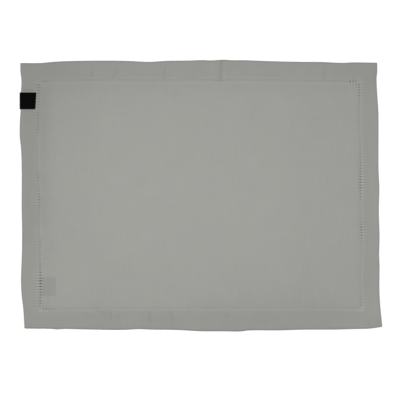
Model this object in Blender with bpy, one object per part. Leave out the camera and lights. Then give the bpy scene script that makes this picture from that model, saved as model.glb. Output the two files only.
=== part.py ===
"""A hemstitched cloth placemat lying flat on a table.

A woven label is folded over its left hem, and a plain tab is sewn in under it by the lower left corner.

Metres throughout. +X runs to the right along the mat's long side, +Y to its upper edge and +Z up. The
origin is on the table, under the middle of the mat.

The cloth is one grid in sewn coordinates (u, v). On each side 2 is the outer fold of the hem and 1 is the
drawn-thread channel along the hem's inner edge, so the hem is the band from 1 to 2 and the centre panel
lies inside 1. Four edge curves and four channel curves turn (u, v) into a place on the table.
"""

from bisect import bisect_right
from math import cos, hypot, pi, radians, sin

import bmesh
import bpy
import numpy as np

# The cloth as it was cut and hemmed
MAT_WIDTH = 0.480
MAT_DEPTH = 0.356
MAT_SKEW = 0.003                # the upper corners lie this far to the left, the lower ones to the right
CHANNEL_WIDTH = 0.432           # from one upright channel to the other
CHANNEL_DEPTH = 0.307           # from one level channel to the other
CHANNEL_HALF_SPAN = 0.002       # from the bottom of the channel to the full height of the panel
PANEL_THICKNESS = 0.0012
HEM_THICKNESS = 0.0019

# The hem from its channel out to its fold: sewn place, height of its underside, height of its face
HEM_SECTION = (
    (1.00, 0.0000, 0.0010),
    (1.09, 0.0000, 0.0018),
    (1.40, 0.0000, 0.0018),
    (1.75, 0.0000, HEM_THICKNESS),
    (1.95, 0.0000, 0.0018),
    (2.00, 0.0005, 0.0013),
)

# How far each edge stands out from the straight side: place along the side, outward bulge
TOP_EDGE = (
    (-0.243, 0.0000), (-0.216, 0.0000), (-0.195, 0.0018), (-0.165, 0.0029), (-0.122, 0.0032),
    (-0.098, 0.0028), (-0.070, 0.0016), (-0.045, 0.0030), (-0.017, 0.0033), (0.000, 0.0039),
    (0.015, 0.0035), (0.030, 0.0045), (0.042, 0.0038), (0.060, 0.0037), (0.096, 0.0024),
    (0.133, 0.0016), (0.160, 0.0014), (0.189, 0.0002), (0.205, 0.0008), (0.237, 0.0004),
)
BOTTOM_EDGE = (
    (-0.237, 0.0004), (-0.202, 0.0008), (-0.194, 0.0015), (-0.183, 0.0009), (-0.165, 0.0013),
    (-0.122, 0.0022), (-0.098, 0.0020), (-0.085, 0.0012), (-0.066, 0.0019), (-0.044, 0.0021),
    (-0.023, 0.0028), (0.000, 0.0041), (0.030, 0.0042), (0.052, 0.0044), (0.064, 0.0030),
    (0.104, 0.0029), (0.139, 0.0019), (0.180, 0.0018), (0.206, 0.0010), (0.225, 0.0006),
    (0.243, -0.0019),
)
LEFT_EDGE = (
    (-0.178, 0.0000), (-0.152, 0.0012), (-0.134, 0.0030), (-0.115, 0.0036), (-0.095, 0.0027),
    (-0.073, 0.0016), (-0.045, 0.0010), (-0.019, 0.0011), (0.007, 0.0006), (0.034, 0.0001),
    (0.062, 0.0005), (0.080, 0.0020), (0.100, 0.0014), (0.115, 0.0001), (0.139, -0.0008),
    (0.155, -0.0015), (0.166, -0.0004), (0.178, -0.0005),
)
RIGHT_EDGE = (
    (-0.178, 0.0006), (-0.158, -0.0010), (-0.146, -0.0020), (-0.126, -0.0026), (-0.095, -0.0019),
    (-0.078, -0.0021), (-0.055, -0.0012), (-0.020, -0.0015), (0.010, -0.0003), (0.034, -0.0010),
    (0.068, -0.0005), (0.100, 0.0000), (0.115, 0.0000), (0.132, -0.0009), (0.156, -0.0017),
    (0.168, -0.0005), (0.178, -0.0005),
)

# How far each channel stands out from its straight line: place along the channel, outward bulge
TOP_CHANNEL = (
    (-0.216, -0.0007), (-0.195, -0.0004), (-0.150, 0.0002), (0.000, 0.0004), (0.030, 0.0009),
    (0.060, 0.0004), (0.190, -0.0002), (0.212, -0.0002),
)
BOTTOM_CHANNEL = (
    (-0.216, -0.0008), (-0.190, -0.0009), (-0.120, -0.0014), (0.000, -0.0014), (0.190, -0.0016),
    (0.215, -0.0018),
)
LEFT_CHANNEL = (
    (-0.153, -0.0005), (-0.107, -0.0005), (-0.030, 0.0004), (-0.006, 0.0009), (0.010, 0.0014),
    (0.030, 0.0026), (0.075, 0.0028), (0.100, 0.0020), (0.125, 0.0014), (0.154, 0.0011),
)
RIGHT_CHANNEL = (
    (-0.151, -0.0008), (-0.100, -0.0006), (-0.053, -0.0001), (0.007, -0.0013), (0.048, -0.0013),
    (0.139, -0.0030), (0.154, -0.0038),
)

# How the panel and hem fail to lie quite flat: waves per metre in X and in Y, phase, height
WAVES = (
    (3.1, 1.7, 0.4, 0.00010),
    (1.3, 4.6, 2.1, 0.00010),
    (6.3, 5.2, 1.2, 0.00006),
)

# The grid of the cloth
PANEL_COLUMNS = 36
PANEL_ROWS = 26

# The label: a woven strip folded round the hem's outer edge
LABEL_THICKNESS = 0.0010
LABEL_OUTER_X = -0.2434         # the outside of its bend
LABEL_TOP_Y = 0.1383
LABEL_BOTTOM_Y = 0.1158
LABEL_TOP_REACH = 0.0226        # from the bend to the ends of the leaves, at its top and bottom
LABEL_BOTTOM_REACH = 0.0213
LABEL_LEAF_CELLS = 3
LABEL_BEND_CELLS = 6
LABEL_ROWS = 4

# The tab: a short woven strip on the table under the cloth, caught in the seam along the left hem
TAB_THICKNESS = 0.0010
TAB_LEFT_X = -0.2175
TAB_RIGHT_X = -0.1948
TAB_BOTTOM_Y = -0.1351
TAB_TOP_Y = -0.1096
TAB_CELLS = 3

# Where the cloth rides up over the label's lower leaf and over the tab, which are equally thick
PIECE_GAP = 0.0003
LIFT = LABEL_THICKNESS + PIECE_GAP
LIFT_MARGIN = 0.002             # the cloth is fully lifted this far past what lies beneath it
LIFT_FADE = 0.016               # and is back on the table this much further out
HEM_SQUEEZE = 0.0004            # how much the label's stitches thin the hem

# What lies beneath the cloth: left, right, bottom, top, how much thinner the cloth is there
BENEATH = (
    (LABEL_OUTER_X, LABEL_OUTER_X + LABEL_TOP_REACH, LABEL_BOTTOM_Y, LABEL_TOP_Y, HEM_SQUEEZE),
    (TAB_LEFT_X, TAB_RIGHT_X, TAB_BOTTOM_Y, TAB_TOP_Y, 0.0),
)

CLOTH_COLOR = (0.264, 0.260, 0.245, 1.0)
LABEL_COLOR = (0.012, 0.012, 0.012, 1.0)


def clear_scene():
    """Remove whatever the scene holds."""
    for thing in list(bpy.data.objects):
        bpy.data.objects.remove(thing, do_unlink=True)


def blend(start, end, share):
    """The value that lies a share of the way from start to end."""
    return start + (end - start) * share


def ease(share):
    """A share from 0 to 1 that starts and ends gently."""
    share = min(max(share, 0.0), 1.0)
    return share * share * (3.0 - 2.0 * share)


def slope(rows, index):
    """The slope of a table's curve at one of its rows, from the rows beside it."""
    before = rows[max(index - 1, 0)]
    after = rows[min(index + 1, len(rows) - 1)]
    return (after[1] - before[1]) / (after[0] - before[0])


def along(rows, place):
    """Read a table of (place, value) rows as one smooth curve through all of them."""
    places = [row[0] for row in rows]
    place = min(max(place, places[0]), places[-1])
    index = min(bisect_right(places, place), len(rows) - 1) - 1
    span = places[index + 1] - places[index]
    share = (place - places[index]) / span
    rise = rows[index + 1][1] - rows[index][1]
    leave = slope(rows, index) * span
    arrive = slope(rows, index + 1) * span
    square = share * share * (3.0 * rise - 2.0 * leave - arrive)
    cube = share ** 3 * (leave + arrive - 2.0 * rise)
    return rows[index][1] + share * leave + square + cube


def skew(y):
    """How far the sides stand to the right at height y, because the mat isn't quite square."""
    return -MAT_SKEW * y / (MAT_DEPTH / 2)


def across(u, y):
    """The X of sewn coordinate u at height y."""
    left = -CHANNEL_WIDTH / 2 - along(LEFT_CHANNEL, y)
    right = CHANNEL_WIDTH / 2 + along(RIGHT_CHANNEL, y)
    if u < -1.0:
        edge = -MAT_WIDTH / 2 + skew(y) - along(LEFT_EDGE, y)
        return blend(left, edge, -u - 1.0)
    if u > 1.0:
        edge = MAT_WIDTH / 2 + skew(y) + along(RIGHT_EDGE, y)
        return blend(right, edge, u - 1.0)
    return blend(left, right, (u + 1.0) / 2)


def upwards(v, x):
    """The Y of sewn coordinate v at place x."""
    bottom = -CHANNEL_DEPTH / 2 - along(BOTTOM_CHANNEL, x)
    top = CHANNEL_DEPTH / 2 + along(TOP_CHANNEL, x)
    if v < -1.0:
        edge = -MAT_DEPTH / 2 - along(BOTTOM_EDGE, x)
        return blend(bottom, edge, -v - 1.0)
    if v > 1.0:
        edge = MAT_DEPTH / 2 + along(TOP_EDGE, x)
        return blend(top, edge, v - 1.0)
    return blend(bottom, top, (v + 1.0) / 2)


def on_table(u, v):
    """The place (x, y) of sewn coordinates (u, v): where the two curves through it cross."""
    x, y = 0.0, upwards(v, 0.0)
    for _ in range(4):
        x = across(u, y)
        y = upwards(v, x)
    return x, y


def covered(x, y, left, right, bottom, top):
    """How fully the cloth is lifted by the thing in a box beneath it: 1 over it, 0 well away from it."""
    past_x = max(left - LIFT_MARGIN - x, x - right - LIFT_MARGIN, 0.0)
    past_y = max(bottom - LIFT_MARGIN - y, y - top - LIFT_MARGIN, 0.0)
    return 1.0 - ease(hypot(past_x, past_y) / LIFT_FADE)


def unevenness(x, y):
    """The slight rise and fall of cloth that was ironed and laid down by hand."""
    height = 0.0
    for waves_x, waves_y, phase, rise in WAVES:
        height += rise * sin(2 * pi * (waves_x * x + waves_y * y) + phase)
    return height


def section(u, v):
    """The heights of the underside and of the face at (u, v) of cloth that lies quite flat."""
    place = max(abs(u), abs(v))
    if place < 1.0:
        return 0.0, PANEL_THICKNESS
    places, lows, highs = zip(*HEM_SECTION)
    return float(np.interp(place, places, lows)), float(np.interp(place, places, highs))


def grid_places(half_span, cells):
    """The sewn coordinates of the grid lines that cross the cloth one way."""
    hem = [row[0] for row in HEM_SECTION]
    panel_side = 1.0 - CHANNEL_HALF_SPAN / half_span
    panel = [panel_side * (2.0 * i / cells - 1.0) for i in range(cells + 1)]
    return [-place for place in hem[::-1]] + panel + hem


def move_nearest(places, target):
    """Move the grid line nearest to target onto it."""
    nearest = min(range(len(places)), key=lambda i: abs(places[i] - target))
    places[nearest] = target


def cloth_grids():
    """The cloth's face and its underside, each as rows of points."""
    columns = grid_places(CHANNEL_WIDTH / 2, PANEL_COLUMNS)
    rows = grid_places(CHANNEL_DEPTH / 2, PANEL_ROWS)
    move_nearest(columns, (TAB_RIGHT_X + LIFT_MARGIN) / (CHANNEL_WIDTH / 2))
    for _, _, bottom, top, _ in BENEATH:
        move_nearest(rows, (bottom - LIFT_MARGIN) / (CHANNEL_DEPTH / 2))
        move_nearest(rows, (top + LIFT_MARGIN) / (CHANNEL_DEPTH / 2))
    face = []
    underside = []
    for v in rows:
        face_row = []
        underside_row = []
        for u in columns:
            x, y = on_table(u, v)
            low, high = section(u, v)
            shares = [covered(x, y, *row[:4]) for row in BENEATH]
            squeeze = sum(share * row[4] for share, row in zip(shares, BENEATH))
            rise = LIFT * sum(shares)
            waves = unevenness(x, y) * (1.0 - sum(shares))
            face_row.append((x, y, high + rise + waves - squeeze))
            underside_row.append((x, y, low + rise))
        face.append(face_row)
        underside.append(underside_row)
    return face, underside


def label_profile(reach, inset):
    """The label's section (x, z), from the lower leaf's end round the bend to the upper leaf's end.

    An inset of 0 gives the outside of the fold, and the label's thickness gives the inside.
    """
    middle = LABEL_THICKNESS + PIECE_GAP + (HEM_THICKNESS - HEM_SQUEEZE) / 2
    radius = middle - inset
    bend_x = LABEL_OUTER_X + middle
    end_x = LABEL_OUTER_X + reach
    leaf = [blend(end_x, bend_x, i / LABEL_LEAF_CELLS) for i in range(LABEL_LEAF_CELLS)]
    turns = [-pi / 2 - pi * i / LABEL_BEND_CELLS for i in range(LABEL_BEND_CELLS + 1)]
    lower = [(x, middle - radius) for x in leaf]
    bend = [(bend_x + radius * cos(turn), middle + radius * sin(turn)) for turn in turns]
    upper = [(x, middle + radius) for x in reversed(leaf)]
    return lower + bend + upper


def label_grids():
    """The label's outer side and its inner side, each as rows of points."""
    outer = []
    inner = []
    for i in range(LABEL_ROWS + 1):
        share = i / LABEL_ROWS
        y = blend(LABEL_BOTTOM_Y, LABEL_TOP_Y, share)
        reach = blend(LABEL_BOTTOM_REACH, LABEL_TOP_REACH, share)
        outer.append([(x, y, z) for x, z in label_profile(reach, 0.0)])
        inner.append([(x, y, z) for x, z in label_profile(reach, LABEL_THICKNESS)])
    return outer, inner


def tab_grids():
    """The tab's upper side and its underside, each as rows of points."""
    upper = []
    lower = []
    for j in range(TAB_CELLS + 1):
        y = blend(TAB_BOTTOM_Y, TAB_TOP_Y, j / TAB_CELLS)
        row = [blend(TAB_LEFT_X, TAB_RIGHT_X, i / TAB_CELLS) for i in range(TAB_CELLS + 1)]
        upper.append([(x, y, TAB_THICKNESS) for x in row])
        lower.append([(x, y, 0.0) for x in row])
    return upper, lower


def closed_sheet(name, front, back, material):
    """Make one closed body from two grids of points that face away from each other."""
    mesh = bpy.data.meshes.new(name)
    shape = bmesh.new()
    front_verts = [[shape.verts.new(point) for point in row] for row in front]
    back_verts = [[shape.verts.new(point) for point in row] for row in back]
    last_row = len(front) - 1
    last_column = len(front[0]) - 1
    for j in range(last_row):
        for i in range(last_column):
            corners = ((j, i), (j, i + 1), (j + 1, i + 1), (j + 1, i))
            shape.faces.new([front_verts[row][column] for row, column in corners])
            shape.faces.new([back_verts[row][column] for row, column in reversed(corners)])
    rim = [(0, i) for i in range(last_column)]
    rim += [(j, last_column) for j in range(last_row)]
    rim += [(last_row, last_column - i) for i in range(last_column)]
    rim += [(last_row - j, 0) for j in range(last_row)]
    for (row, column), (next_row, next_column) in zip(rim, rim[1:] + rim[:1]):
        shape.faces.new((
            back_verts[row][column],
            back_verts[next_row][next_column],
            front_verts[next_row][next_column],
            front_verts[row][column],
        ))
    bmesh.ops.recalc_face_normals(shape, faces=shape.faces)
    shape.to_mesh(mesh)
    shape.free()
    mesh.shade_smooth()
    mesh.set_sharp_from_angle(angle=radians(40))
    mesh.materials.append(material)
    piece = bpy.data.objects.new(name, mesh)
    bpy.context.scene.collection.objects.link(piece)
    return piece


def plain_material(name, color, roughness):
    """A matt material in one colour."""
    material = bpy.data.materials.new(name)
    material.use_nodes = True
    shader = material.node_tree.nodes["Principled BSDF"]
    shader.inputs["Base Color"].default_value = color
    shader.inputs["Roughness"].default_value = roughness
    shader.inputs["Metallic"].default_value = 0.0
    return material


def main():
    clear_scene()
    linen = plain_material("linen", CLOTH_COLOR, 0.95)
    label_weave = plain_material("label_weave", LABEL_COLOR, 0.60)
    closed_sheet("placemat_cloth", *cloth_grids(), linen)
    closed_sheet("side_label", *label_grids(), label_weave)
    closed_sheet("under_tab", *tab_grids(), label_weave)


main()
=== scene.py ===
"""The looks of a hemstitched linen placemat with a woven label folded over its left hem.

Metres throughout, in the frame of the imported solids: +X runs to the right along the mat's long side, +Y to
its upper edge and +Z up, with the origin on the table under the middle of the mat.

The cloth is laid out on a plan first: a plain rectangle with straight channels, as it was measured and sewn.
A point of it is (across, up, depth): two distances on the plan, and a depth that is 0 on the underside and 1
on the face. The edge and channel curves then turn the plan into the mat as it lies.
"""

from math import atan2, copysign, cos, hypot, pi, radians, sin

import bmesh
import bpy
import numpy as np
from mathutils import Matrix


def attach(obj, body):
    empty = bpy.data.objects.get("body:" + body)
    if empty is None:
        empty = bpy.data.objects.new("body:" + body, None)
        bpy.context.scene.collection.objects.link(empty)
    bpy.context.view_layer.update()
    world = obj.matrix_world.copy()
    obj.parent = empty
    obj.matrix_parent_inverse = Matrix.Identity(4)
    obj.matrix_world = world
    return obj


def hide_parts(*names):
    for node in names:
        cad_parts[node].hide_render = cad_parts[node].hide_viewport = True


# When two places of the plan count as the same
NEAR_ZERO = 1e-9
PLACE_TOLERANCE = 1e-6
PLACE_DIGITS = 7

# The cloth as it was cut and hemmed, the same as its solid
MAT_WIDTH = 0.480
MAT_DEPTH = 0.356
MAT_SKEW = 0.003                # the upper corners lie this far to the left, the lower ones to the right
CHANNEL_WIDTH = 0.432
CHANNEL_DEPTH = 0.307
HALF_X = CHANNEL_WIDTH / 2
HALF_Y = CHANNEL_DEPTH / 2
HEM_X = MAT_WIDTH / 2 - HALF_X
HEM_Y = MAT_DEPTH / 2 - HALF_Y

# How far each edge stands out from the straight side: place along the side, outward bulge
TOP_EDGE = (
    (-0.243, 0.0000), (-0.216, 0.0000), (-0.195, 0.0018), (-0.165, 0.0029), (-0.122, 0.0032),
    (-0.098, 0.0028), (-0.070, 0.0016), (-0.045, 0.0030), (-0.017, 0.0033), (0.000, 0.0039),
    (0.015, 0.0035), (0.030, 0.0045), (0.042, 0.0038), (0.060, 0.0037), (0.096, 0.0024),
    (0.133, 0.0016), (0.160, 0.0014), (0.189, 0.0002), (0.205, 0.0008), (0.237, 0.0004),
)
BOTTOM_EDGE = (
    (-0.237, 0.0004), (-0.202, 0.0008), (-0.194, 0.0015), (-0.183, 0.0009), (-0.165, 0.0013),
    (-0.122, 0.0022), (-0.098, 0.0020), (-0.085, 0.0012), (-0.066, 0.0019), (-0.044, 0.0021),
    (-0.023, 0.0028), (0.000, 0.0041), (0.030, 0.0042), (0.052, 0.0044), (0.064, 0.0030),
    (0.104, 0.0029), (0.139, 0.0019), (0.180, 0.0018), (0.206, 0.0010), (0.225, 0.0006),
    (0.243, -0.0019),
)
LEFT_EDGE = (
    (-0.178, 0.0000), (-0.152, 0.0012), (-0.134, 0.0030), (-0.115, 0.0036), (-0.095, 0.0027),
    (-0.073, 0.0016), (-0.045, 0.0010), (-0.019, 0.0011), (0.007, 0.0006), (0.034, 0.0001),
    (0.062, 0.0005), (0.080, 0.0020), (0.100, 0.0014), (0.115, 0.0001), (0.139, -0.0008),
    (0.155, -0.0015), (0.166, -0.0004), (0.178, -0.0005),
)
RIGHT_EDGE = (
    (-0.178, 0.0006), (-0.158, -0.0010), (-0.146, -0.0020), (-0.126, -0.0026), (-0.095, -0.0019),
    (-0.078, -0.0021), (-0.055, -0.0012), (-0.020, -0.0015), (0.010, -0.0003), (0.034, -0.0010),
    (0.068, -0.0005), (0.100, 0.0000), (0.115, 0.0000), (0.132, -0.0009), (0.156, -0.0017),
    (0.168, -0.0005), (0.178, -0.0005),
)

# How far each channel stands out from its straight line: place along the channel, outward bulge
TOP_CHANNEL = (
    (-0.216, -0.0007), (-0.195, -0.0004), (-0.150, 0.0002), (0.000, 0.0004), (0.030, 0.0009),
    (0.060, 0.0004), (0.190, -0.0002), (0.212, -0.0002),
)
BOTTOM_CHANNEL = (
    (-0.216, -0.0008), (-0.190, -0.0009), (-0.120, -0.0014), (0.000, -0.0014), (0.190, -0.0016),
    (0.215, -0.0018),
)
LEFT_CHANNEL = (
    (-0.153, -0.0005), (-0.107, -0.0005), (-0.030, 0.0004), (-0.006, 0.0009), (0.010, 0.0014),
    (0.030, 0.0026), (0.075, 0.0028), (0.100, 0.0020), (0.125, 0.0014), (0.154, 0.0011),
)
RIGHT_CHANNEL = (
    (-0.151, -0.0008), (-0.100, -0.0006), (-0.053, -0.0001), (0.007, -0.0013), (0.048, -0.0013),
    (0.139, -0.0030), (0.154, -0.0038),
)

# The section of the cloth: distance out from the channel's middle, height of its underside, of its face
SECTION = (
    (-0.0400, 0.00008, 0.00066),
    (-0.0200, 0.00014, 0.00072),
    (-0.0110, 0.00046, 0.00104),
    (-0.0062, 0.00086, 0.00144),
    (-0.0036, 0.00112, 0.00170),
    (-0.0026, 0.00112, 0.00166),
    (-0.0012, 0.00090, 0.00136),
    (0.0000, 0.00068, 0.00105),
    (0.0010, 0.00086, 0.00130),
    (0.0015, 0.00004, 0.00155),
    (0.0024, 0.00004, 0.00190),
    (0.0036, 0.00004, 0.00198),
    (0.0060, 0.00004, 0.00190),
    (0.0120, 0.00004, 0.00180),
    (0.0190, 0.00004, 0.00182),
    (0.0222, 0.00004, 0.00181),
    (0.0236, 0.00004, 0.00177),
    (0.0245, 0.00004, 0.00171),
)
CORNER_SOFTNESS = 0.012         # how far out the two sides' sections run into each other inside a corner
PLACING_ROUNDS = 5              # a point's X and Y depend on each other, so both are found in rounds

# How much darker the cloth looks, by distance out from the channel's middle, as painted shade: where it lies
# doubled, less light comes back through it from the table, beside the hem it stands off the table, and at the
# outer fold it darkens; painted light lightens the drawn strip
SHADE = (
    (-0.0300, 0.000), (-0.0160, 0.012), (-0.0080, 0.026), (-0.0045, 0.034), (-0.0026, 0.016),
    (-0.0010, -0.072), (0.0008, -0.072), (0.0028, 0.036), (0.0055, 0.080), (0.0100, 0.084),
    (0.0222, 0.084), (0.0232, 0.100), (0.0245, 0.210),
)

# Painted shade and painted light, for how the light falls unevenly on the mat: from X, Y to X, Y on the
# table, reach, how much darker
PAINTED_LIGHT_AND_SHADE = (
    (-0.2250, 0.1650, -0.2200, 0.1650, 0.0750, 0.060),
    (0.2350, 0.1700, 0.2360, 0.1700, 0.0500, 0.020),
    (-0.2250, -0.1650, -0.2200, -0.1650, 0.0550, -0.026),
    (0.2350, -0.1740, 0.2360, -0.1740, 0.0420, -0.074),
    (-0.2130, 0.1400, -0.2120, -0.0300, 0.0110, 0.050),
    (-0.2310, 0.1050, -0.2300, -0.0600, 0.0120, 0.034),
    (-0.0100, -0.1470, 0.1750, -0.1460, 0.0100, 0.034),
    (0.1500, 0.1000, 0.1500, -0.1300, 0.0300, 0.012),
    (0.0300, -0.1250, 0.1500, -0.1250, 0.0280, 0.014),
    (-0.1100, 0.0600, -0.1000, -0.0500, 0.0550, -0.014),
    (-0.1850, -0.1150, -0.1840, -0.1150, 0.0320, -0.030),
    (-0.2000, -0.1549, 0.2080, -0.1553, 0.0022, 0.030),
    (-0.1880, -0.1517, 0.1850, -0.1515, 0.0014, -0.032),
    (0.2146, -0.0120, 0.2150, -0.1400, 0.0014, -0.036),
    (-0.2187, 0.0800, -0.2187, 0.0360, 0.0014, -0.045),
    (-0.2162, -0.0220, -0.2160, -0.0500, 0.0014, -0.030),
    (0.2178, -0.0100, 0.2182, -0.1450, 0.0018, 0.030),
    (0.2160, 0.1150, 0.2168, 0.0560, 0.0018, 0.026),
    (-0.0700, -0.1680, 0.1000, -0.1680, 0.0110, 0.018),
    (0.2330, 0.1350, 0.2330, -0.1550, 0.0110, -0.036),
)
RIM_SHADE = 0.085               # how much darker it looks at the fold on the left and upper sides
RIM_INSET = 0.0022              # how far in from the fold that begins
CREASE_SHADE = 200.0            # how much darker it looks for each metre that a crease is deep

# How the cloth fails to lie quite flat: waves per metre in X and in Y, phase, height
WAVES = (
    (3.1, 1.7, 0.4, 0.00010),
    (1.3, 4.6, 2.1, 0.00010),
    (6.3, 5.2, 1.2, 0.00006),
    (11.0, -7.0, 2.7, 0.00004),
    (17.0, 9.0, 0.9, 0.00002),
)

# Creases and puckers, on the table: from X, Y to X, Y, half width, rise
CREASES = (
    (-0.1464, 0.1600, -0.1464, 0.1635, 0.0026, -0.00035),
    (-0.1190, 0.1580, -0.1120, 0.1680, 0.0024, -0.00026),
    (-0.0485, 0.1570, -0.0478, 0.1700, 0.0022, -0.00029),
    (-0.0220, 0.1585, -0.0070, 0.1580, 0.0018, -0.00026),
    (0.0270, 0.1560, 0.0275, 0.1800, 0.0024, -0.00054),
    (0.0200, 0.1600, 0.0215, 0.1760, 0.0040, 0.00038),
    (0.0340, 0.1590, 0.0350, 0.1720, 0.0036, 0.00026),
    (0.1655, 0.1570, 0.1660, 0.1680, 0.0022, -0.00029),
    (-0.1424, -0.1480, -0.1290, -0.1600, 0.0024, -0.00026),
    (-0.1210, -0.1560, -0.1205, -0.1680, 0.0020, -0.00029),
    (-0.1115, -0.1550, -0.1110, -0.1660, 0.0020, -0.00022),
    (-0.1000, -0.1560, -0.0900, -0.1650, 0.0026, 0.00022),
    (-0.0684, -0.1560, -0.0680, -0.1700, 0.0022, -0.00029),
    (-0.0410, -0.1560, -0.0370, -0.1680, 0.0024, -0.00026),
    (-0.0260, -0.1570, -0.0170, -0.1650, 0.0024, 0.00022),
    (0.0355, -0.1600, 0.0370, -0.1615, 0.0024, -0.00029),
    (0.0745, -0.1690, 0.0760, -0.1705, 0.0022, -0.00029),
    (0.0855, -0.1695, 0.0870, -0.1705, 0.0022, -0.00026),
    (0.2240, -0.1700, 0.2300, -0.1735, 0.0018, -0.00054),
    (0.2340, -0.1735, 0.2400, -0.1680, 0.0016, -0.00058),
    (0.2280, -0.1745, 0.2340, -0.1700, 0.0015, 0.00042),
    (-0.2230, -0.1680, -0.2050, -0.1690, 0.0030, 0.00016),
    (0.1850, -0.1300, 0.2020, -0.1360, 0.0090, 0.00029),
    (-0.2380, 0.1416, -0.2250, 0.1414, 0.0010, -0.00070),
    (-0.2370, 0.1400, -0.2230, 0.1398, 0.0009, 0.00020),
    (-0.2350, 0.1136, -0.2280, 0.1134, 0.0011, -0.00040),
)

# The hemstitching: how far the drawn threads have opened at each place along a side, from 0 to 1
STITCH_PITCH = 0.0038
TOP_OPENING = (
    (-0.216, 0.48), (-0.204, 0.42), (-0.190, 0.14), (-0.092, 0.12), (-0.080, 0.28), (-0.050, 0.28),
    (-0.040, 0.12), (0.014, 0.14), (0.024, 0.48), (0.038, 0.38), (0.048, 0.12), (0.098, 0.14),
    (0.112, 0.30), (0.184, 0.28), (0.200, 0.36), (0.204, 0.76), (0.213, 0.72),
)
BOTTOM_OPENING = (
    (-0.216, 0.76), (-0.207, 0.62), (-0.199, 0.30), (-0.188, 0.18), (-0.006, 0.14), (0.004, 0.24),
    (0.018, 0.24), (0.030, 0.14), (0.190, 0.20), (0.202, 0.40), (0.213, 0.40),
)
LEFT_OPENING = (
    (-0.152, 0.66), (-0.136, 0.58), (-0.124, 0.92), (-0.112, 0.92), (-0.100, 0.64), (-0.090, 0.46),
    (-0.072, 0.44), (-0.062, 0.56), (-0.054, 0.20), (-0.030, 0.16), (-0.018, 0.44), (-0.006, 0.72),
    (0.004, 0.44), (0.016, 0.16), (0.026, 0.60), (0.034, 0.12), (0.078, 0.12), (0.090, 0.48),
    (0.104, 0.44), (0.122, 0.56), (0.134, 0.72), (0.152, 0.70),
)
RIGHT_OPENING = (
    (-0.152, 0.66), (-0.134, 0.32), (-0.116, 0.14), (-0.070, 0.16), (-0.060, 0.54), (-0.048, 0.88),
    (-0.038, 0.58), (-0.026, 0.34), (-0.014, 0.16), (-0.004, 0.36), (0.004, 0.68), (0.016, 1.00),
    (0.026, 0.84), (0.038, 0.62), (0.050, 0.52), (0.062, 0.30), (0.078, 0.16), (0.110, 0.14),
    (0.124, 0.34), (0.144, 0.64), (0.154, 0.70),
)
STRIP_IN = 0.0023               # how far the drawn strip reaches into the panel from the middle
STRIP_OUT = 0.0019              # and this far into the hem
STRIP_CELLS = 3                 # mesh cells across it
CELLS_PER_STITCH = 4            # and along it
HOLE_ALONG = 0.00074            # half width of a fully opened hole along the channel
HOLE_ACROSS = 0.00092           # and across it
HOLE_VARIETY = 0.10             # how far a hole's size departs from its neighbours'
HOLE_SHIFT = 0.00012            # and how far its middle does
HOLE_POINTS = 16
CORNER_HOLE = 0.00042           # half width of the hole where two drawn strips cross
HOLE_SHADE = 0.62               # painted shade: how much darker the walls inside a hole look
GATHER_RISE = 0.00028           # how much the bundles stand up and the cloth between them sinks
GATHER_LIGHT_AND_SHADE = 0.62              # and how much lighter and darker they look: painted light on the bundles, painted shade between them
GATHER_REACH_OUT = 0.0030       # how soon that dies away in the hem
GATHER_REACH_IN = 0.0018        # and in the panel
SINK_SHADE = 0.09               # how much darker the panel looks where the open stitches draw it down
SINK_PLACE = 0.0026             # how far in from the channel that is most
SINK_REACH = 0.0019             # and how soon it dies away

# A hole's lip, from the face round to the underside: distance out from the hole, depth
LIP_FACE_DEPTH = 0.9            # the hole's wall starts here
LIP_SECTION = (
    (0.00050, 1.0), (0.00020, 1.0), (0.00004, LIP_FACE_DEPTH), (0.0, 0.5), (0.00004, 0.1), (0.00024, 0.0),
)

# The hem's mesh rows, as shares of the way from the drawn strip to the outer fold, and the fold itself
HEM_ROWS = (0.0, 0.05, 0.11, 0.20, 0.34, 0.52, 0.72, 0.88, 0.96)
FOLD_STEPS = 6

# The threads of the hemstitching, on the plan. At each bundle two lie round it, four bite into the hem and
# three into the panel: distance along the side, out from the channel, depth.
THREAD_RADIUS = 0.00013
THREAD_SIDES = 5
WRAP_PATH = (
    (-0.00112, 0.0, 0.20), (-0.00080, 0.0, 1.12), (0.0000, 0.0, 1.32), (0.00080, 0.0, 1.12),
    (0.00112, 0.0, 0.20),
)
WRAP_PLACES = (-0.00013, 0.00014)
HEM_BITE_PATH = ((0.0, 0.00025, 0.50), (0.0, 0.00070, 1.20), (0.0, 0.00200, 1.07), (0.0, 0.00310, 0.70))
HEM_BITE_PLACES = (-0.00042, -0.00014, 0.00014, 0.00042)
PANEL_BITE_PATH = ((0.0, -0.00025, 0.50), (0.0, -0.00070, 1.28), (0.0, -0.00160, 1.18), (0.0, -0.00250, 0.45))
PANEL_BITE_PLACES = (-0.00028, 0.0, 0.00028)

# Two strands twist round each other along the back of the holes, their colour darkened with painted shadow
BACK_RADIUS = 0.00028
BACK_SIDES = 5
BACK_SWING = 0.00034            # how far each strand swings out from their middle
BACK_DEPTH = -0.9
BACK_DEPTH_SWING = 0.3          # and up and down
BACK_STEPS = 6                  # path points to a stitch
BACK_SHADE = 0.62               # painted shadow: how much darker they look, down in the holes
CLOSED_SHADE = 0.13             # how much darker the threads on the face look at closed stitches

# The label: a woven strip folded round the hem's outer edge
LABEL_THICKNESS = 0.00042
LABEL_OUTER_X = -0.2434
LABEL_TOP_Y = 0.1383
LABEL_BOTTOM_Y = 0.1158
LABEL_TOP_REACH = 0.0226
LABEL_BOTTOM_REACH = 0.0213
LABEL_LEAF_CELLS = 26
LABEL_BEND_CELLS = 14
LABEL_ROWS = 28
LABEL_LOWER_Z = 0.00021         # the middle of the lower leaf's thickness
LABEL_UPPER_Z = 0.00260         # and of the upper leaf's
LABEL_WAVE = 0.00005            # how unevenly its upper leaf lies
LABEL_WAVES = (95.0, 60.0)      # waves per metre in X and in Y
LABEL_CORNER = 0.0008           # how much its corners are worn round
SHARP_ANGLE = radians(60)       # edges of the label and of the tab are sharp past this
ALL_SMOOTH = pi

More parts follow.
